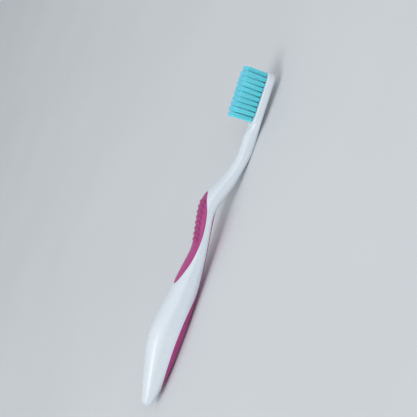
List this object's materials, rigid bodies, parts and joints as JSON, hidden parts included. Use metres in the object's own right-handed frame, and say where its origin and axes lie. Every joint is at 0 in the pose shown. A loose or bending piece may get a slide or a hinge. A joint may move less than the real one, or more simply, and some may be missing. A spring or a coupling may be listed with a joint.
{
  "type": "manual toothbrush",
  "caption": "Manual toothbrush with a bent lofted handle, inlaid soft grips on the front and back, a slim neck and a flat-trimmed field of anchored filament tufts.",
  "frame": {"origin": "under the middle of the brush, on the surface that it lies on with its back down", "axes": "+X from the butt of the handle to the toe of the head, +Z the way the tufts point, Y across the handle"},
  "size_m": [0.185, 0.0148, 0.0202],
  "materials": {
    "handle_plastic": "polished white moulding",
    "soft_grip": "fine matt moulding",
    "filament": "satin extruded nylon",
    "anchor_metal": "cut flat wire"
  },
  "bodies": {
    "root": {"anchors": "anchor_metal", "back_grip": "soft_grip", "handle": "handle_plastic", "thumb_grip": "soft_grip", "tuft_row_01_col_1": "filament", "tuft_row_01_col_2": "filament", "tuft_row_01_col_3": "filament", "tuft_row_02_col_1": "filament", "tuft_row_02_col_2": "filament", "tuft_row_02_col_3": "filament", "tuft_row_02_col_4": "filament", "tuft_row_03_col_1": "filament", "tuft_row_03_col_2": "filament", "tuft_row_03_col_3": "filament", "tuft_row_03_col_4": "filament", "tuft_row_04_col_1": "filament", "tuft_row_04_col_2": "filament", "tuft_row_04_col_3": "filament", "tuft_row_04_col_4": "filament", "tuft_row_05_col_1": "filament", "tuft_row_05_col_2": "filament", "tuft_row_05_col_3": "filament", "tuft_row_05_col_4": "filament", "tuft_row_06_col_1": "filament", "tuft_row_06_col_2": "filament", "tuft_row_06_col_3": "filament", "tuft_row_06_col_4": "filament", "tuft_row_07_col_1": "filament", "tuft_row_07_col_2": "filament", "tuft_row_07_col_3": "filament", "tuft_row_07_col_4": "filament", "tuft_row_08_col_1": "filament", "tuft_row_08_col_2": "filament", "tuft_row_08_col_3": "filament", "tuft_row_08_col_4": "filament", "tuft_row_09_col_1": "filament", "tuft_row_09_col_2": "filament", "tuft_row_09_col_3": "filament", "tuft_row_09_col_4": "filament", "tuft_row_10_col_1": "filament", "tuft_row_10_col_2": "filament", "tuft_row_10_col_3": "filament"}
  },
  "joints": []
}
